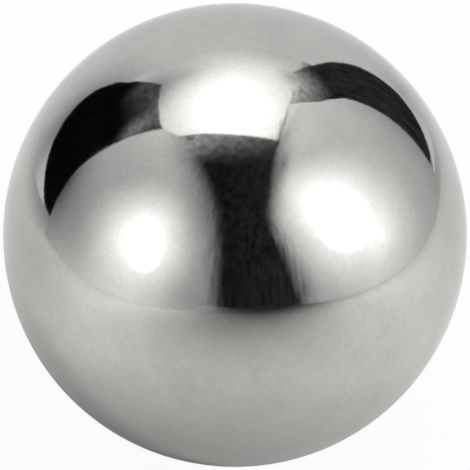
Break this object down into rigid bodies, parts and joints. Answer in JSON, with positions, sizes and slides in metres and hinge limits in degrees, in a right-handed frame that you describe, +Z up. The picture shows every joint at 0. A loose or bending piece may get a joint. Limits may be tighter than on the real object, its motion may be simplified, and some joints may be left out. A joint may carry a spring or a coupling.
{
  "type": "whiskey stone",
  "caption": "Mirror-polished steel ball that is chilled in a freezer and laid in a glass to cool a drink without melting.",
  "frame": {"origin": "centre of the ball", "axes": "+Z up, away from the spot that the ball rests on; every axis through the centre is an axis of symmetry"},
  "size_m": [0.055, 0.055, 0.055],
  "materials": {
    "polished_steel": "mirror-polished stainless steel with a faint haze"
  },
  "bodies": {
    "root": {"ball": "polished_steel"}
  },
  "joints": []
}
